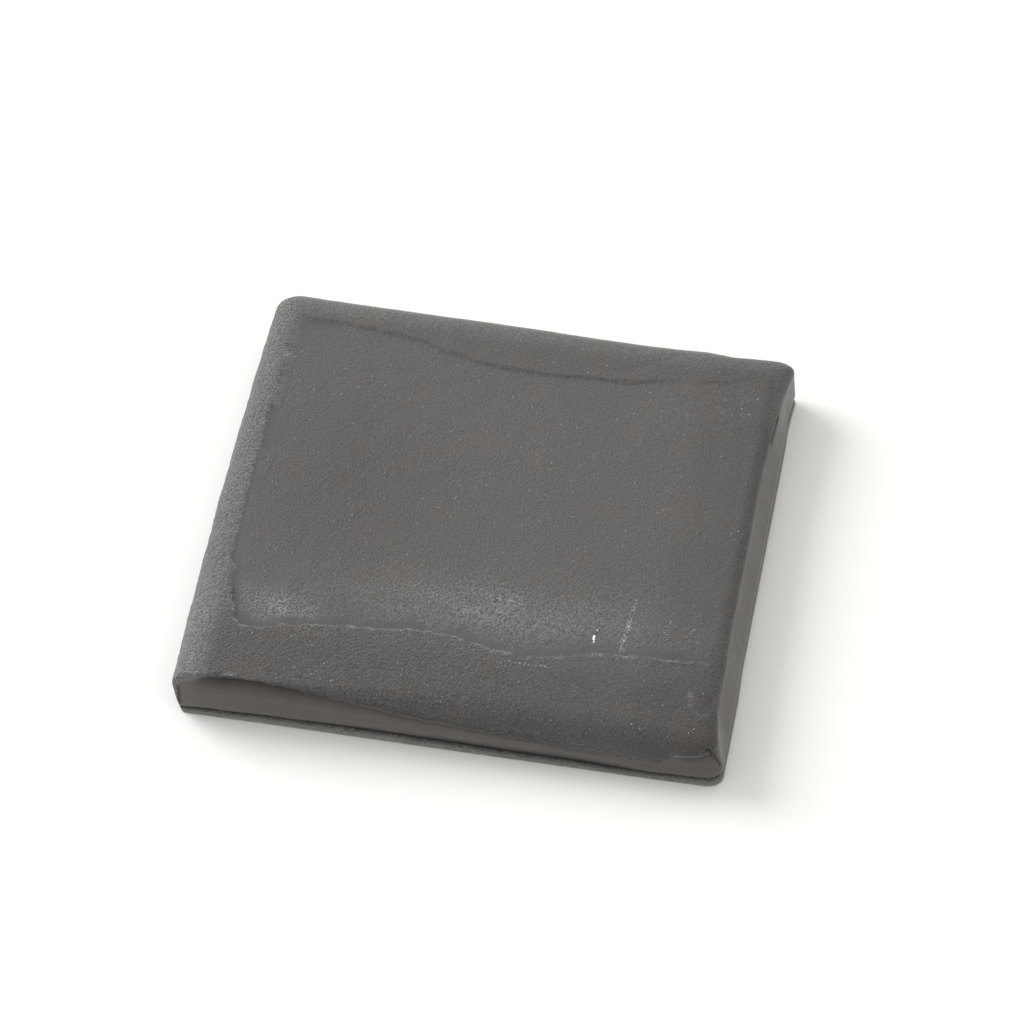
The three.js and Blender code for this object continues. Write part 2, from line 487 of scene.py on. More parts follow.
def lip_rows(sizes, roof):
    """Rows up the lip, in along its shelf, and in and out of the seam."""
    foot = sizes["foot"]
    lip = sizes["lip"]
    shelf = sizes["shelf"]
    crack = shelf + sizes["seam_depth"]
    shelf_rise, crack_edge_rise, crack_rise = SHELF_RISES
    crack_drop, roof_drop = ROOF_DROPS
    return [
        *((foot + inward, height) for inward, height in BASE_ROWS),
        (foot + LIP_MIDDLE_LEAN, 0.5 * lip),
        *((foot + inward, lip + rise) for inward, rise in LIP_TOP_ROWS),
        (0.5 * (foot + LIP_TOP_LEAN + shelf), lip + shelf_rise),
        (shelf, lip + crack_edge_rise),
        (crack, lip + crack_rise),
        (crack, roof - crack_drop),
        (shelf, roof - roof_drop),
    ]


def cut_profile(sizes):
    """Insets and heights, row by row from the base, of a cut side at each place round the ring."""
    roof = np.maximum(sizes["roof"], sizes["lip"] + SEAM_LEAST_GAP)
    ridge = np.maximum(sizes["ridge"], roof + UNDERCUT_LEAST)
    skin_edge = sizes["skin_edge"]
    skin_inset = sizes["skin_inset"]
    overhang = sizes["overhang"]
    undercut = sizes["shelf"] - UNDERCUT_STEP - WALL_INSET
    rows = lip_rows(sizes, roof)
    for step in range(UNDERCUT_ROWS):
        part = step / (UNDERCUT_ROWS - 1)
        rows.append((
            WALL_INSET + undercut * (1 - part) ** UNDERCUT_POWER,
            roof + UNDERCUT_STEP + (ridge - roof - UNDERCUT_STEP) * part,
        ))
    wall_foot = ridge + RIDGE_BAND
    for step in range(WALL_ROWS + 1):
        part = step / WALL_ROWS
        rows.append((
            WALL_INSET + (skin_inset - WALL_INSET) * part + overhang * part ** OVERHANG_POWER,
            wall_foot + (skin_edge - wall_foot) * part,
        ))
    rows.append((skin_inset + OVERHANG_KEPT * overhang, skin_edge + SKIN_EDGE_BAND))
    roll_insets, roll_climbs = roll_rows(sizes["run"], THICKNESS - skin_edge - ROLL_START)
    for inset, climb in zip(roll_insets, roll_climbs):
        rows.append((skin_inset + inset, skin_edge + ROLL_START + climb))
    return [np.stack([np.broadcast_to(value, RING_SIZE) for value in column]) for column in zip(*rows)]


def fold_profile(cut_heights, y):
    """The same rows on the folded side: tucked in at the base, then one long roll."""
    lower = cut_heights[:-ROLL_ROWS - 1]
    stretch = lower / (lower[-1] + FOLD_ROLL_GAP)
    heights = FOLD_MIDDLE * stretch
    insets = FOLD_TUCK * (1 - stretch) ** FOLD_TUCK_POWER
    roll_insets, roll_climbs = roll_rows(through(FOLD_RUN, y), np.full(len(y), THICKNESS - FOLD_MIDDLE))
    return np.vstack((insets, roll_insets)), np.vstack((heights, FOLD_MIDDLE + roll_climbs))


def wall_rows():
    """The rings from the base to the flat top, as an array of rows of points."""
    outer, inner = outlines()
    x, y = outer.T
    along = flattened(outer)
    weights = side_weights()
    front_insets, front_heights = cut_profile(front_sizes(along))
    fold_insets, fold_heights = fold_profile(front_heights, y)
    fold_part = fold_insets / INNER_INSET["left"]
    front_part = front_insets / (through(FRONT_ROLL_RUN, x) + FRONT_ROLL_MARGIN)

    # The fold's roll runs straight on to the cut front face, so its profile shapes that face's left end.
    folded = 1 - zone(along, UNFOLDED)
    lifted = zone(along, LIFTED)
    part_x = weights["left"] * fold_part + weights["front"] * (
        folded * fold_part + (1 - folded) * front_part
    )
    part_y = weights["left"] * fold_part + weights["front"] * front_part
    heights = weights["left"] * fold_heights + weights["front"] * (
        (1 - lifted) * fold_heights + lifted * front_heights
    )
    for side in ("right", "back"):
        side_insets, side_heights = cut_profile(plain_sizes(side, along))
        part_x += weights[side] * side_insets / INNER_INSET[side]
        part_y += weights[side] * side_insets / INNER_INSET[side]
        heights += weights[side] * side_heights
    part = np.dstack((part_x, part_y))
    flat = outer * (1 - part) + inner * part
    rows = np.dstack((flat, heights[:, :, None]))
    flat_top = np.column_stack((inner, np.full(RING_SIZE, THICKNESS)))
    return np.concatenate((rows, flat_top[None]))


# --- The slab's skin: the top's grid and its pressed panel ---

def grid_numbers(ring_start, inner_start):
    """The vertex numbers of the top's grid, whose border is the last ring."""
    numbers = np.zeros((SEGMENTS_X + 1, SEGMENTS_Y + 1), int)
    across = np.arange(SEGMENTS_X + 1)
    along = np.arange(SEGMENTS_Y + 1)
    numbers[:, 0] = ring_start + across
    numbers[-1, :] = ring_start + SEGMENTS_X + along
    numbers[:, -1] = ring_start + 2 * SEGMENTS_X + SEGMENTS_Y - across
    numbers[0, :] = ring_start + (RING_SIZE - along) % RING_SIZE
    numbers[1:-1, 1:-1] = inner_start + np.arange(math.prod(INSIDE_SHAPE)).reshape(INSIDE_SHAPE)
    return numbers


def fill_grid(numbers, points):
    """Places the grid's inner points between the four borders."""
    front = points[numbers[:, 0]]
    back = points[numbers[:, -1]]
    left = points[numbers[0, :]]
    right = points[numbers[-1, :]]
    u = ((front[:, X] - front[0, X]) / (front[-1, X] - front[0, X]))[:, None, None]
    v = ((left[:, Y] - left[0, Y]) / (left[-1, Y] - left[0, Y]))[None, :, None]
    between_ends = front[:, None] * (1 - v) + back[:, None] * v
    between_sides = left[None, :] * (1 - u) + right[None, :] * u
    corners = (
        front[0] * (1 - u) * (1 - v) + front[-1] * u * (1 - v) + back[0] * (1 - u) * v + back[-1] * u * v
    )
    filled = between_ends + between_sides - corners
    points[numbers[1:-1, 1:-1]] = filled[1:-1, 1:-1]


def closed_curve(corners, steps):
    """A smooth closed curve through the corners, by the Catmull-Rom rule."""
    corners = np.array(corners, float)
    before = np.roll(corners, 1, axis=0)
    after = np.roll(corners, -1, axis=0)
    beyond = np.roll(corners, -2, axis=0)
    points = []
    for t in np.linspace(0, 1, steps, endpoint=False):
        points.append(0.5 * (
            2 * corners + (after - before) * t + (2 * before - 5 * corners + 4 * after - beyond) * t ** 2
            + (3 * corners - before - 3 * after + beyond) * t ** 3
        ))
    return np.stack(points, axis=1).reshape(-1, 2)


def distance_to_line(places, line):
    """How far each place is from a line of points."""
    line = np.asarray(line, float)
    nearest = np.full(len(places), np.inf)
    for start, end in zip(line, line[1:]):
        run = end - start
        part = np.clip((places - start) @ run / (run @ run), 0, 1)
        gap = places - (start + part[:, None] * run)
        nearest = np.minimum(nearest, (gap ** 2).sum(axis=1))
    return np.sqrt(nearest)


def is_inside(places, outline):
    inside = np.zeros(len(places), bool)
    for start, end in zip(outline, np.roll(outline, -1, axis=0)):
        spans = (start[Y] > places[:, Y]) != (end[Y] > places[:, Y])
        rise = end[Y] - start[Y] if end[Y] != start[Y] else 1
        crossing = start[X] + (places[:, Y] - start[Y]) * (end[X] - start[X]) / rise
        inside ^= spans & (places[:, X] < crossing)
    return inside


def panel_distance(places):
    """Distance from the pressed panel's edge, positive inside it, with the edge's fine teeth."""
    outline = closed_curve(PANEL_OUTLINE, PANEL_CURVE_STEPS)
    distance = distance_to_line(places, np.vstack((outline, outline[:1])))
    flat = flattened(places)
    tooth_size = TOOTH_SIZE + FRONT_TOOTH_SIZE * zone(places, TOOTHED)
    teeth = tooth_size * wander(flat, "teeth") + wander(flat, "panel_line")
    return np.where(is_inside(places, outline), distance, -distance) + teeth


def press_top(points, inside):
    """Lowers the crown, presses the panel, and raises a fine rim along the panel's toothed edge."""
    x, y, z = points.T
    gaps = {"front": y + HALF_DEPTH, "right": HALF_WIDTH - x, "back": HALF_DEPTH - y}
    drops = {"front": through(FRONT_DROP, x), **CROWN_DROP}
    lowered = np.zeros(len(points))
    for side, gap in gaps.items():
        lowered += drops[side] * np.clip(1 - gap / CROWN_REACH[side], 0, 1) ** CROWN_POWER
    kept = np.ones(len(points))
    for loss, *ramps in PANEL_FADES:
        kept *= 1 - loss * zone(points, ramps)
    lowered += PANEL_DEPTH * kept * smoothstep(*PANEL_STEP, inside)
    lowered -= RIM_HEIGHT * zone(points, TOOTHED) * bell(inside + RIM_PLACE, RIM_WIDTH)
    lowered += wander(flattened(points), "crown")
    points[:, Z] -= lowered * smoothstep(LOWERED_FROM, THICKNESS, z)


# Creases of the skin. Each is drawn on one face, in the two axes that face shows: its line, its
# half-width and its depth.
FRONT_FACE_BACK = -17
RIGHT_FACE_LEFT = 18
TOP_FACE_BOTTOM = 3.5
CREASES = {
    "front": (
        (((-18, 2.95), (-15, 3.15), (-12.9, 2.95)), 0.07, 0.03),
    ),
    "right": (
        (((-18.5, 3.95), (-18.35, 3), (-18.1, 1.8)), 0.065, 0.09),
        (((13.3, 4), (12, 3.9), (10.7, 3.95)), 0.13, 0.12),
    ),
    "top": (
        (((7.5, 15.25), (11.5, 17.5)), 0.35, 0.03),
        (((17, -8), (18.6, -5.75)), 0.35, 0.03),
        (((-19.9, -12.3), (-18.4, -11.9), (-17.5, -11.6)), 0.1, 0.05),
        (((-18.6, -13.2), (-18.1, -12.2)), 0.1, 0.04),
    ),
}


def crease_depth(points):
    """How deep each point lies in a crease of the skin."""
    x, y, z = points.T
    faces = {
        "front": (np.column_stack((x, z)), y < FRONT_FACE_BACK),
        "right": (np.column_stack((y, z)), x > RIGHT_FACE_LEFT),
        "top": (np.column_stack((x, y)), z > TOP_FACE_BOTTOM),
    }
    deepest = np.zeros(len(points))
    for face, creases in CREASES.items():
        places, on_face = faces[face]
        for line, half_width, depth in creases:
            across = depth * bell(distance_to_line(places, line), half_width) * on_face
            deepest = np.maximum(deepest, across)
    return deepest


def vertex_normals(points, quads):
    diagonal_a = points[quads[:, 2]] - points[quads[:, 0]]
    diagonal_b = points[quads[:, 3]] - points[quads[:, 1]]
    face_normals = np.cross(diagonal_a, diagonal_b)
    normals = np.zeros_like(points)
    for corner in range(4):
        np.add.at(normals, quads[:, corner], face_normals)
    lengths = np.linalg.norm(normals, axis=1, keepdims=True)
    return normals / np.maximum(lengths, np.finfo(float).tiny)


def skin():
    """The slab's points, its quads, the points of its underside, and the row that each point is in."""
    rows = wall_rows()
    row_count = len(rows)
    inner_start = row_count * RING_SIZE
    points = np.vstack((rows.reshape(-1, 3), np.zeros((math.prod(INSIDE_SHAPE), 3))))
    numbers = grid_numbers(inner_start - RING_SIZE, inner_start)
    fill_grid(numbers, points)
    here = np.arange(inner_start - RING_SIZE).reshape(-1, RING_SIZE)
    beside = np.roll(here, -1, axis=1)
    bands = np.stack((here, beside, beside + RING_SIZE, here + RING_SIZE), axis=-1).reshape(-1, 4)
    cells = np.stack((numbers[:-1, :-1], numbers[1:, :-1], numbers[1:, 1:], numbers[:-1, 1:]), axis=-1)
    quads = np.vstack((bands, cells.reshape(-1, 4)))
    underside = list(range(RING_SIZE))[::-1]
    row_numbers = np.minimum(np.arange(len(points)) // RING_SIZE, row_count)
    return points, quads, underside, row_numbers


# --- Where the skin is grainy, glossy, bare or pale, and where light and shade are painted on it ---

# Zones of the skin: how strong each is, and the ramps along the axes that bound it.
ZONES = {
    "front_cut": (1, (Y, -18.3, -18.5), (X, -19.65, -19.4)),
    "right_cut": (1, (X, 18.5, 18.8), (Z, 3.85, 3.65)),
    "back_cut": (1, (Y, 18.4, 18.7)),
    "cut_side": (1, (X, -19.75, -19.4)),
    "fold_grain": (1.6, (X, -17.6, -18.8)),
    "front_strip": (1, (Y, -10, -12)),
    "front_strip_right": (0.7, (X, 3, 10)),
    "band_left": (1, (X, -14, -16)),
    "band_front": (0.8, (Y, -9.5, -11)),
    "band_end": (1, (X, 17.5, 15.5)),
    "rim_left": (1, (X, -17, -17.4)),
    "rim_left_half": (0.16, (X, 6, 2)),
    "rim_end": (1, (X, 18.4, 17)),
    # Painted sheen on the fold and along the back, and a painted highlight on the back right corner.
    "fold_sheen": (1, (X, -16.8, -18.9), (Z, 1, 3.4)),
    "fold_front_sheen": (0.28, (Y, -8, -15)),
    "corner_highlight": (0.2, (Y, 10, 13), (X, 18.4, 19), (Z, 1.5, 3.5)),
    "back_sheen": (0.34, (Y, 16, 18.6), (Z, 3, 4)),
    # Painted shade: over the front skin's edge, to the right, at the right edge, at the front and in the tab.
    "over_edge": (0.35, (X, 12, 7), (X, -9, -5)),
    "right_shade": (0.1, (X, 12.5, 15)),
    "right_edge_shade": (0.05, (X, 16.5, 17.5)),
    "front_shade": (0.1, (Y, -12.5, -15)),
    "tab_shade": (0.04, (X, 16.8, 17.2), (Y, -13.2, -14.6), (Y, -16.3, -16)),
}

# Across the panel's edge or a noise: the two values between which a share rises from 0 to 1.
GRAIN_FADE = (0.06, -0.06)
BAND_RISE = (0, 0.12)
BAND_FALL = (1.1, 0.4)
STRIP_RISE = (0.1, -0.3)
GLOSS_RISE = (0, 0.5)
STREAK_BREAKS = (-0.25, 0.35)
RIM_BREAKS = (-0.2, 0.6)
LIFT_RISE = (0, 0.8)

# Places, widths and strengths of the tints.
GRAIN_EDGE = (
    *SKIN_EDGE_START, (-6, 3.75), (-2, 3.15), (2, 2.8), (6, 2.3), (9, 1.95), (15.5, 2.1), (16.5, 2.9),
    *SKIN_EDGE_END,
)
SHEEN_CENTRE = (2, -9.2)
SHEEN_SIZE = (10, 2.6)
SHEEN_STRETCH = (0.35, 1, 1)
PATCH_CENTRE = (-13.8, -11.6)
PATCH_SIZE = (2.7, 1.3)
PATCH_SLANT = 0.35
PATCH_REACH = 0.95
PATCH_POWER = 0.7
PATCH_STRETCH = (1, 0.5, 1)
PATCH_EVENNESS = 0.6
PANEL_RIM_PLACE = 0.08
PANEL_RIM_WIDTH = 0.13
PANEL_RIM = 0.34
TAB_RIM_WIDTH = 0.12
OVER_EDGE_RISE = 0.2
OVER_EDGE_WIDTH = 0.4
CORNER_LINE_X = -19.45
CORNER_LINE_WIDTH = 0.12
SHADE_CENTRE_X = -10
SHADE_SIZE = (5.5, 9)
SMOOTHED = 0.85
PANEL_GLOSS = 0.45
GRAIN = {"plain": 0.95, "front": 0.7, "sheen": 0.35, "patch": 0.9}
# Paleness of the worn patch, of the scuff with its painted sheen, and of the rim with its painted highlight.
PALENESS = {"patch": 0.62, "sheen": 0.26, "rim": 0.8}
# Painted light: sheen on the fold, highlights on the tab's rim and on the panel's rim.
PAINTED_LIGHT = {"fold": 0.32, "tab": 0.4, "rim": 0.55}
# Painted shade in creases, down the front left corner, left of the middle and in the smooth band.
SHADE_STRENGTH = {"crease": 10, "corner_line": 0.7, "left": 0.13, "band": 0.1}
MOST_MASK = 3

# Hard limits, where a mark would otherwise show on another face.
STREAK_BOTTOM = 4
TAB_BOTTOM = 3.8
OVER_EDGE_BACK = -15
CREASE_TOP = 4.4
CREASE_LEFT = 18.6
CORNER_LINE_BACK = -18
CORNER_LINE_TOP = 3.2

# Rows of the cut side and their painted light and shade: the lip paler, partly its own colour and partly
# painted bounce light, a faint painted highlight on the ridge above the seam, and painted shade in the seam
# and the hollow under the skin's edge.
LIP_ROWS = {0: 1.3, 1: 1.3, 2: 1, 3: 0.7, 4: 0.5, 5: 0.55, 6: 0.6, 7: 0.5, 16: 0.08}
SEAM_ROWS = {8: 1, 9: 1, 10: 1, 11: 0.95, 12: 0.78, 13: 0.5, 14: 0.25, 15: 0.08}
HOLLOW_ROWS = {20: 0.15, 21: 0.35, 22: 0.6, 23: 1, 24: 1, 25: 0.9, 26: 0.6, 27: 0.3, 28: 0.12}
SKIN_EDGE_SHADE = (
    (-18.6, 0), (-17.6, 0.7), (-16.5, 0.95), (-12, 0.9), (-8, 0.6), (-2, 0.5), (6, 0.4), (11, 0), (16, 0),
    (17.5, 0.5), (19.6, 0.5),
)

# Where the top is scuffed pale: each streak's line from above, its half-width and strength.
PALE_STREAKS = (
    (((11.75, -6.4), (11.65, -8.6)), 0.12, 0.5),
    (((11.65, -8.6), (11.7, -9.4), (11.45, -10.3), (11.5, -11.4)), 0.15, 1.6),
    (((14.5, -7.8), (14.4, -10)), 0.14, 0.45),
    (((16.3, -8.4), (16.2, -9.8)), 0.14, 0.4),
    (((15.2, 11), (15.1, 15)), 0.3, 0.12),
    (((16.8, 11.5), (16.6, 14.5)), 0.3, 0.1),
    (((3, -13.85), (6.5, -13.75)), 0.14, 0.4),
    (((1, -7.9), (3.4, -8.2)), 0.3, 0.45),
)


def row_mask(row_numbers, shares):
    mask = np.zeros(len(row_numbers))
    for row, share in shares.items():
        mask[row_numbers == row] = share
    return mask


def cut_face(points, zones):
    """The bare cut faces: the front one, below the grain's edge, and the right and back walls."""
    below_grain = smoothstep(*GRAIN_FADE, points[:, Z] - through(GRAIN_EDGE, points[:, X]))
    front = zones["front_cut"] * below_grain
    return np.maximum.reduce((front, zones["right_cut"], zones["back_cut"]))


def smooth_band(points, zones, inside):
    """The smooth band just inside the panel's edge, at its left and front."""
    band = smoothstep(*BAND_RISE, inside) * smoothstep(*BAND_FALL, inside + wander(points, "band"))
    return band * np.maximum(zones["band_left"], zones["band_front"]) * zones["band_end"]


def scuffed_sheen(points):
    """The broad, streaky scuff across the front of the panel, partly a painted sheen."""
    across = bell(points[:, X] - SHEEN_CENTRE[X], SHEEN_SIZE[X])
    away = bell(points[:, Y] - SHEEN_CENTRE[Y], SHEEN_SIZE[Y])
    return across * away * (1 + wander(points * SHEEN_STRETCH, "sheen"))


def pale_patch(points):
    """The pale patch at the panel's front left corner."""
    across = (points[:, X] - PATCH_CENTRE[X]) / PATCH_SIZE[X]
    away = (points[:, Y] - PATCH_CENTRE[Y]) / PATCH_SIZE[Y] + PATCH_SLANT * across
    patch = bell(np.hypot(across, away), PATCH_REACH) ** PATCH_POWER
    return patch * (PATCH_EVENNESS + wander(points * PATCH_STRETCH, "patch"))


def panel_rim(points, zones, inside):
    """The broken pale line along the panel's edge, partly a painted highlight on its step."""
    rim = (PANEL_RIM + zones["rim_left_half"]) * bell(inside + PANEL_RIM_PLACE, PANEL_RIM_WIDTH)
    rim *= smoothstep(*RIM_BREAKS, wander(points, "rim"))
    return rim * np.maximum(zones["front_strip"], zones["rim_left"]) * zones["rim_end"]


def pale_streaks(points):
    broken = smoothstep(*STREAK_BREAKS, wander(points, "streaks"))
    on_top = points[:, Z] > STREAK_BOTTOM
    streaks = np.zeros(len(points))
    for line, width, strength in PALE_STREAKS:
        across = strength * bell(distance_to_line(points[:, :2], line), width)
        streaks = np.maximum(streaks, across * broken * on_top)
    return streaks


def grain_mask(zones, inside, bare, band, sheen, patch):
    front = smoothstep(*STRIP_RISE, inside) * zones["front_strip"] * (1 - zones["front_strip_right"])
    grain = GRAIN["plain"] + zones["fold_grain"] * (1 - bare) + GRAIN["front"] * front
    grain += GRAIN["sheen"] * sheen + GRAIN["patch"] * patch
    return grain * (1 - SMOOTHED * bare) * (1 - SMOOTHED * band)


def painted_light_mask(points, zones, row_numbers, bare, rim):
    """Painted light: sheen on the fold and back, highlights on the back right corner, tab rim and panel rim,
    and on the lip.
    """
    fold = (PAINTED_LIGHT["fold"] + zones["fold_front_sheen"]) * zones["fold_sheen"] * (1 - bare)
    tab = PAINTED_LIGHT["tab"] * bell(distance_to_line(points[:, :2], TAB_LINE), TAB_RIM_WIDTH)
    tab *= points[:, Z] > TAB_BOTTOM
    lip = row_mask(row_numbers, LIP_ROWS) * zones["cut_side"]
    blooms = (fold, zones["back_sheen"], zones["corner_highlight"], tab, PAINTED_LIGHT["rim"] * rim)
    return np.maximum.reduce(blooms) + lip


def dark_hollows(points, zones, row_numbers):
    """Painted shade in the seam, and in the hollow under the skin's edge at the front."""
    x, y, _ = points.T
    crack = row_mask(row_numbers, SEAM_ROWS)
    hollow = row_mask(row_numbers, HOLLOW_ROWS) * through(SKIN_EDGE_SHADE, x) * (y < FRONT_FACE_BACK)
    return np.maximum(crack, hollow) * zones["cut_side"]


def dark_lines(points, zones):
    """Painted shade: the strip over the front skin's edge, in the right side's creases and down the front
    left corner.
    """
    x, y, z = points.T
    seen_height = z + VIEW_SLOPE * (y + HALF_DEPTH)
    edge_height = through(FRONT_SKIN_EDGE, x) + VIEW_SLOPE * through(FRONT_SKIN_INSET, x)
    over_edge = bell(seen_height - edge_height - OVER_EDGE_RISE, OVER_EDGE_WIDTH) * (y < OVER_EDGE_BACK)
    over_edge *= zones["over_edge"]
    creased = SHADE_STRENGTH["crease"] * crease_depth(points) * (z < CREASE_TOP) * (x > CREASE_LEFT)
    corner_line = SHADE_STRENGTH["corner_line"] * bell(x - CORNER_LINE_X, CORNER_LINE_WIDTH)
    corner_line *= (y < CORNER_LINE_BACK) * (z < CORNER_LINE_TOP)
    return np.maximum.reduce((over_edge, creased, corner_line))


def dark_shades(points, zones, bare, band):
    """Broad, faint painted shade: left of the middle, to the right, at the front, in the tab and in the
    smooth band.
    """
    x, y, _ = points.T
    distance = np.hypot((x - SHADE_CENTRE_X) / SHADE_SIZE[X], y / SHADE_SIZE[Y])
    shaded = SHADE_STRENGTH["left"] * bell(distance, 1) + zones["right_shade"] + zones["tab_shade"]
    edges = zones["front_shade"] + zones["right_edge_shade"]
    return shaded + edges * (1 - bare) + SHADE_STRENGTH["band"] * band


def surface_masks(points, inside, row_numbers):
    """How far each point of the skin is grainy, glossy, bare and pale, and how much painted light and shade
    it gets.
    """
    zones = {name: strength * zone(points, ramps) for name, (strength, *ramps) in ZONES.items()}
    bare = cut_face(points, zones)
    band = smooth_band(points, zones, inside)
    sheen = scuffed_sheen(points)
    patch = pale_patch(points)
    rim = panel_rim(points, zones, inside)
    scuffs_and_sheen = [PALENESS["patch"] * patch, PALENESS["sheen"] * sheen, PALENESS["rim"] * rim]
    darks = [dark_hollows(points, zones, row_numbers), dark_lines(points, zones)]
    masks = {
        "grain": grain_mask(zones, inside, bare, band, sheen, patch),
        "gloss": np.maximum(bare, PANEL_GLOSS * smoothstep(*GLOSS_RISE, inside)),
        "bare": bare,
        # Pale scuffs and wear, with the painted sheen and the rim's painted highlight.
        "pale": np.maximum.reduce([*scuffs_and_sheen, pale_streaks(points)]) * (1 - band),
        "painted_light": painted_light_mask(points, zones, row_numbers, bare, rim),
        "painted_shade": np.maximum.reduce([*darks, dark_shades(points, zones, bare, band)]),
    }
    return {name: np.clip(mask, 0, MOST_MASK) for name, mask in masks.items()}


def relief(points, masks):
    """How far the skin stands out or in: gentle swells, grain and creases."""
    lift = smoothstep(*LIFT_RISE, points[:, Z])
    return (wander(points, "swell") + wander(points, "grain") * masks["grain"]) * lift - crease_depth(points)


# --- Materials ---

CHARCOAL = (0.060, 0.059, 0.057, 1)
BARE_CHARCOAL = (0.064, 0.057, 0.052, 1)
WARM_CHARCOAL = (0.067, 0.058, 0.055, 1)
# Pale, for the scuffs and wear and for the painted sheen and highlights.
PALE = (0.34, 0.34, 0.33, 1)
# The colour of the painted shade.
SHADE_COLOUR = (0.012, 0.010, 0.009, 1)
SPARKLE = (0.6, 0.6, 0.58, 1)

# Noise textures: the size of their cells, detail and roughness.
PATCH_NOISE = (4, 5, 0.7)
SPECKLE_NOISE = (0.15, 2, 0.6)
SCUFF_AND_SHEEN_NOISE = (0.15, 2, 0.7)
BUMP_NOISE = (0.21, 3, 0.6)
FLECK_NOISE = (0.1, 2, 0.5)
NOISE_MIDDLE = 0.5

# How a value becomes another: its low and high, then the new low and high.
WARMTH_RANGE = (0.4, 0.7, 0, 0.8)
SCUFF_AND_SHEEN_RANGE = (0.44, 0.6, 0, 1)
LIGHT_MOTTLE_RANGE = (0, 1, 0.28, 0.62)
SPARKLE_RANGE = (0.08, 0.14, 1, 0)
ROUGHNESS_RANGE = (0, 1, 0.8, 0.55)
SPECULAR_RANGE = (0, 1, 0.5, 0)
SHEEN_RANGE = (0, 1, 0.3, 0)

SPECKLE_CONTRAST = 1.4
SPARKLE_CELL = 0.4
SPARKLE_CHOICE = 0.8
SPARKLE_STRENGTH = 0.28
BUMP_DISTANCE = 0.11
SHEEN_ROUGHNESS = 0.4
FLECK_SHADE = 0.6
FLECK_ROUGHNESS = 0.9

# The mix node's sockets for its factor and two colours, and for the mixed colour.
MIX_INPUTS = (0, 6, 7)
MIX_OUTPUT = 2


def add_node(tree, kind, inputs, output, **settings):
    """Adds a shader node with its settings and inputs, and returns one of its outputs."""
    node = tree.nodes.new("ShaderNode" + kind)
    for name, value in settings.items():
        setattr(node, name, value)
    fill_inputs(tree, node, inputs)
    return node.outputs[output]


def place_node(tree):
    return add_node(tree, "TexCoord", {}, "Object")


def mask_node(tree, name):
    return add_node(tree, "Attribute", {}, "Fac", attribute_name=name)


def noise_node(tree, place, size, detail, roughness):
    inputs = {"Vector": place, "Scale": 1 / (size * MM), "Detail": detail, "Roughness": roughness}
    return add_node(tree, "TexNoise", inputs, "Fac")


def map_node(tree, value, low, high, new_low, new_high):
    inputs = {"Value": value, "From Min": low, "From Max": high, "To Min": new_low, "To Max": new_high}
    return add_node(tree, "MapRange", inputs, "Result")


def math_node(tree, operation, a, b):
    return add_node(tree, "Math", {0: a, 1: b}, "Value", operation=operation)


def times(tree, a, b):
    return math_node(tree, "MULTIPLY", a, b)


def mix_colour(tree, factor, a, b):
    inputs = dict(zip(MIX_INPUTS, (factor, a, b)))
    return add_node(tree, "Mix", inputs, MIX_OUTPUT, data_type="RGBA")


def grain_node(tree, place, noise_sizes):
    """Noise round zero, as strong as the skin is grainy."""
    value = noise_node(tree, place, *noise_sizes)
    return times(tree, math_node(tree, "SUBTRACT", value, NOISE_MIDDLE), mask_node(tree, "grain"))


def sparkle_node(tree, place):
    """Tiny bright grains, one in the middle of a few of the cells."""
    inputs = {"Vector": place, "Scale": 1 / (SPARKLE_CELL * MM)}
    distance = add_node(tree, "TexVoronoi", inputs, "Distance")
    chance = add_node(tree, "SeparateColor", {"Color": distance.node.outputs["Color"]}, "Red")
    picked = math_node(tree, "GREATER_THAN", chance, SPARKLE_CHOICE)
    return times(tree, map_node(tree, distance, *SPARKLE_RANGE), picked)


def putty_colour(tree, place):
    """Charcoal with warm patches, bare cut faces, speckles, pale scuffs with a painted sheen, sparkles,
    painted light on the fold, rims and lip, and painted shade in the seams, hollows, creases and broad areas.
    """
    patches = map_node(tree, noise_node(tree, place, *PATCH_NOISE), *WARMTH_RANGE)
    colour = mix_colour(tree, patches, CHARCOAL, WARM_CHARCOAL)
    colour = mix_colour(tree, mask_node(tree, "bare"), colour, BARE_CHARCOAL)
    spread = times(tree, grain_node(tree, place, SPECKLE_NOISE), SPECKLE_CONTRAST)
    speckled = {0: colour, "Scale": math_node(tree, "ADD", spread, 1)}
    colour = add_node(tree, "VectorMath", speckled, "Vector", operation="SCALE")
    # One noise breaks up both the pale scuffs with their painted sheen and the painted light.
    scuff_and_sheen = map_node(tree, noise_node(tree, place, *SCUFF_AND_SHEEN_NOISE), *SCUFF_AND_SHEEN_RANGE)
    colour = mix_colour(tree, times(tree, mask_node(tree, "pale"), scuff_and_sheen), colour, PALE)
    # Painted sheen and highlights, mottled by the same noise.
    light_mottle = map_node(tree, scuff_and_sheen, *LIGHT_MOTTLE_RANGE)
    colour = mix_colour(tree, times(tree, mask_node(tree, "painted_light"), light_mottle), colour, PALE)
    sparkle = times(tree, sparkle_node(tree, place), mask_node(tree, "grain"))
    colour = mix_colour(tree, times(tree, sparkle, SPARKLE_STRENGTH), colour, SPARKLE)
    # Painted shade in the seams, hollows and creases, and broad painted shade over tilted areas.
    return mix_colour(tree, mask_node(tree, "painted_shade"), colour, SHADE_COLOUR)


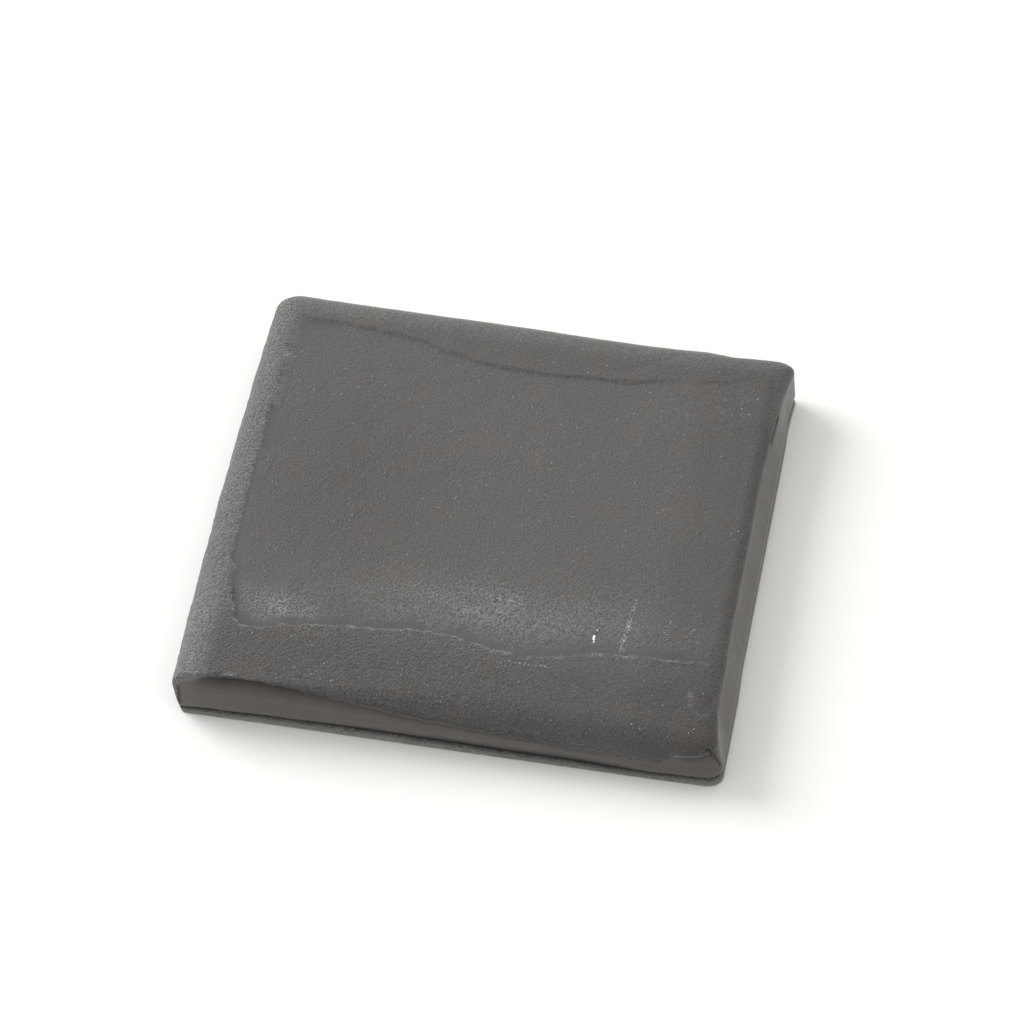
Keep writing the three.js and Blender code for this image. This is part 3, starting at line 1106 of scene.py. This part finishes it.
def putty_material():
    """The slab's finish. The seams and hollows, where shade is painted, also lose their shine."""
    material, tree, surface = new_material("putty")
    place = place_node(tree)
    gloss = mask_node(tree, "gloss")
    painted_shade = mask_node(tree, "painted_shade")
    bumps = {"Strength": 1, "Distance": BUMP_DISTANCE * MM, "Height": grain_node(tree, place, BUMP_NOISE)}
    fill_inputs(tree, surface, {
        "Base Color": putty_colour(tree, place),
        "Normal": add_node(tree, "Bump", bumps, "Normal"),
        "Roughness": map_node(tree, gloss, *ROUGHNESS_RANGE),
        "Specular IOR Level": map_node(tree, painted_shade, *SPECULAR_RANGE),
        "Sheen Weight": map_node(tree, painted_shade, *SHEEN_RANGE),
        "Sheen Roughness": SHEEN_ROUGHNESS,
    })
    return material


def fleck_material(name, colour):
    material, tree, surface = new_material(name)
    cloudy = noise_node(tree, place_node(tree), *FLECK_NOISE)
    shade = tuple(FLECK_SHADE * part for part in colour[:3]) + (1,)
    fill_inputs(tree, surface, {
        "Base Color": mix_colour(tree, cloudy, shade, colour), "Roughness": FLECK_ROUGHNESS,
    })
    return material


# --- The pieces ---

def add_piece(name, points, faces, material):
    """Makes a smooth-shaded mesh piece, from millimetres, that rides with the slab."""
    data = bpy.data.meshes.new(name)
    data.from_pydata((np.asarray(points) * MM).tolist(), [], faces)
    data.polygons.foreach_set("use_smooth", [True] * len(data.polygons))
    data.materials.append(material)
    piece = add_object(name, data)
    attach(piece, "root")
    return piece


def make_slab():
    """Makes the slab and returns its skin as a tree that finds points on it."""
    points, quads, underside, row_numbers = skin()
    inside = panel_distance(points[:, :2])
    press_top(points, inside)
    normals = vertex_normals(points, quads)
    masks = surface_masks(points, inside, row_numbers)
    points += normals * relief(points, masks)[:, None]
    points[:, Z] = np.maximum(points[:, Z], 0)
    slab = add_piece("eraser_slab", points, quads.tolist() + [underside], putty_material())
    for name, values in masks.items():
        attribute = slab.data.attributes.new(name, "FLOAT", "POINT")
        attribute.data.foreach_set("value", values.astype(np.float32))
    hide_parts("putty_slab")
    return BVHTree.FromPolygons(points.tolist(), quads.tolist())


def top_at(tree, x, y):
    """The skin's point straight below a place."""
    return np.array(tree.ray_cast(Vector((x, y, 2 * THICKNESS)), Vector((0, 0, -1)))[0])


def front_at(tree, x, height):
    """The skin's point at the front, seen from straight in front."""
    return np.array(tree.ray_cast(Vector((x, -DEPTH, height)), Vector((0, 1, 0)))[0])


FLECK_LUMPINESS = (0.75, 1.15)


def ball():
    """A small faceted ball of radius 1."""
    mesh = bmesh.new()
    bmesh.ops.create_icosphere(mesh, subdivisions=1, radius=1)
    points = np.array([vertex.co[:] for vertex in mesh.verts])
    faces = np.array([[vertex.index for vertex in face.verts] for face in mesh.faces])
    mesh.free()
    return points, faces


def flecks(name, tree, spots, material, seed):
    """Small lumps pressed into the skin. Each spot is x, y, half-lengths along x and y, and height."""
    random = np.random.default_rng(seed)
    shape, faces = ball()
    all_points = []
    all_faces = []
    for number, (x, y, half_x, half_y, height) in enumerate(spots):
        lumpy = shape * random.uniform(*FLECK_LUMPINESS, (len(shape), 1))
        all_points.append(lumpy * (half_x, half_y, height) + top_at(tree, x, y))
        all_faces.append(faces + number * len(shape))
    add_piece(name, np.vstack(all_points), np.vstack(all_faces).tolist(), material)


DUST_COLOUR = (0.36, 0.36, 0.34, 1)
DUST_SEED = 61
DUST_SPOTS = (
    (-13.1, 9.2), (-10, -2.2), (-5.3, -5.25), (-2.75, 2), (-3.9, -0.4), (9.95, -0.1), (9.9, 4.5),
    (18.1, 1.25), (15.75, 8.2), (17.6, 14.1), (17.9, -14.2), (15.2, -15.7), (-17.75, -9.9), (-19.1, 11.1),
    (4.7, 14.5), (9.6, 13.45), (-16.9, 12.9), (-17.2, 12.3), (17.7, -17.4), (17.4, -17.7), (13.3, -17.6),
    (13.9, -17.8),
)
DUST_SIZES = (0.065, 0.065, 0.04)
FINE_DUST_COUNT = 60
FINE_DUST_X = (-18.5, 18)
FINE_DUST_Y = (-18, 17.5)
FINE_DUST_SIZE = (0.02, 0.045)
FINE_DUST_HEIGHT = 0.6


def make_dust(tree):
    """Specks of pale dust and lint: the plain ones where they lie, and more scattered finely."""
    random = np.random.default_rng(DUST_SEED)
    spots = [(x, y, *DUST_SIZES) for x, y in DUST_SPOTS]
    for _ in range(FINE_DUST_COUNT):
        x = random.uniform(*FINE_DUST_X)
        y = random.uniform(*FINE_DUST_Y)
        size = random.uniform(*FINE_DUST_SIZE)
        spots.append((x, y, size, size, FINE_DUST_HEIGHT * size))
    flecks("dust_specks", tree, spots, fleck_material("dust", DUST_COLOUR), DUST_SEED + 1)


CRUMB_COLOUR = (0.27, 0.27, 0.265, 1)
CRUMB_SEED = 63
CRUMBS_PER_MM = 8
CRUMB_SPREAD = (0.7, 0.4)
CRUMB_HALF_X = (0.04, 0.12)
CRUMB_HALF_Y = (0.04, 0.1)
CRUMB_HEIGHT = 0.03


def make_scuff_crumbs(tree):
    """Pale crumbs along the scratches and along the panel's toothed front edge."""
    random = np.random.default_rng(CRUMB_SEED)
    spots = []
    for line, width, strength in PALE_STREAKS:
        for start, end in zip(line, line[1:]):
            for _ in range(round(math.dist(start, end) * CRUMBS_PER_MM * strength)):
                part = random.uniform()
                x = start[X] + (end[X] - start[X]) * part + random.normal() * CRUMB_SPREAD[X] * width
                y = start[Y] + (end[Y] - start[Y]) * part + random.normal() * CRUMB_SPREAD[Y] * width
                half_x = random.uniform(*CRUMB_HALF_X)
                half_y = random.uniform(*CRUMB_HALF_Y)
                spots.append((x, y, half_x, half_y, CRUMB_HEIGHT))
    flecks("scuff_crumbs", tree, spots, fleck_material("scuffed_putty", CRUMB_COLOUR), CRUMB_SEED + 1)


FLAKE_COLOUR = (0.85, 0.85, 0.82, 1)
FLAKE_SEED = 65
FLAKE_SPOTS = (
    (9.38, -10.45, 0.14, 0.22, 0.1), (9.4, -10.66, 0.13, 0.2, 0.09), (9.44, -10.95, 0.07, 0.12, 0.06),
    (9.5, -9.8, 0.06, 0.08, 0.04),
)


def make_flake(tree):
    """One white flake, lying near the front right of the panel."""
    flecks("white_flake", tree, FLAKE_SPOTS, fleck_material("flake", FLAKE_COLOUR), FLAKE_SEED)


SHRED_COLOUR = (0.2, 0.195, 0.185, 1)
SHRED_SEED = 66
SHRED_COUNT = 120
SHRED_STEPS = 7
SHRED_SIDES = 5
SHRED_X = (-18.3, 19)
SHRED_RADIUS = (0.018, 0.036)
SHRED_TIP = 0.4
SHRED_FOOT_DROP = 0.06
SHRED_REACH = (0.02, 0.16)
SHRED_RUN = 0.25
SHRED_SAG = 0.05
SHRED_PROUD = 0.02
LYING_EVERY = 4
LYING_RUN = 0.5
LYING_RISE = 0.2
LYING_SET_IN = 0.1


def tube(route, radius):
    """A thin closed tube along a route that runs mostly in the x-z plane: its points and faces."""
    directions = np.gradient(route, axis=0)
    directions /= np.linalg.norm(directions, axis=1, keepdims=True)
    sideways = np.cross(directions, (0, 1, 0))
    sideways /= np.linalg.norm(sideways, axis=1, keepdims=True)
    other = np.cross(directions, sideways)
    points = []
    for corner in range(SHRED_SIDES):
        angle = 2 * math.pi * corner / SHRED_SIDES
        points.append(route + radius[:, None] * (math.cos(angle) * sideways + math.sin(angle) * other))
    points = np.stack(points, axis=1).reshape(-1, 3)
    first_cap = list(range(SHRED_SIDES))[::-1]
    last_cap = list(range(len(points) - SHRED_SIDES, len(points)))
    faces = [first_cap, last_cap]
    for step in range(len(route) - 1):
        low = step * SHRED_SIDES
        high = low + SHRED_SIDES
        for corner in range(SHRED_SIDES):
            after = (corner + 1) % SHRED_SIDES
            faces.append([low + corner, low + after, high + after, high + corner])
    return points, faces


def make_shreds(tree):
    """Fine shreds of putty drawn across the torn front seam, and a few that lie along it."""
    random = np.random.default_rng(SHRED_SEED)
    part = np.linspace(0, 1, SHRED_STEPS)
    arch = np.sin(np.pi * part)
    taper = SHRED_TIP + (1 - SHRED_TIP) * arch
    all_points = []
    all_faces = []
    placed = 0
    for number in range(SHRED_COUNT):
        lies = number % LYING_EVERY == 0
        x = random.uniform(*SHRED_X)
        gape = through(SEAM_GAPE, x)
        lip = through(SEAM_CENTRE, x) - 0.5 * gape - VIEW_SLOPE * LIP_SHELF["front"]
        low = front_at(tree, x, lip - SHRED_FOOT_DROP)
        run = random.normal() * (LYING_RUN if lies else SHRED_RUN)
        high = front_at(tree, x + run, lip + gape + random.uniform(*SHRED_REACH))
        if lies:
            high[Z] = low[Z] + LYING_RISE * random.uniform(0, 1)
            high[Y] = low[Y] + LYING_SET_IN
        route = low + (high - low) * part[:, None]
        route[:, Z] += random.normal() * SHRED_SAG * arch
        route[:, Y] -= SHRED_PROUD
        points, faces = tube(route, random.uniform(*SHRED_RADIUS) * taper)
        all_points.append(points)
        all_faces.extend([[index + placed for index in face] for face in faces])
        placed += len(points)
    add_piece("seam_shreds", np.vstack(all_points), all_faces, fleck_material("shreds", SHRED_COLOUR))


skin_tree = make_slab()
make_dust(skin_tree)
make_scuff_crumbs(skin_tree)
make_flake(skin_tree)
make_shreds(skin_tree)
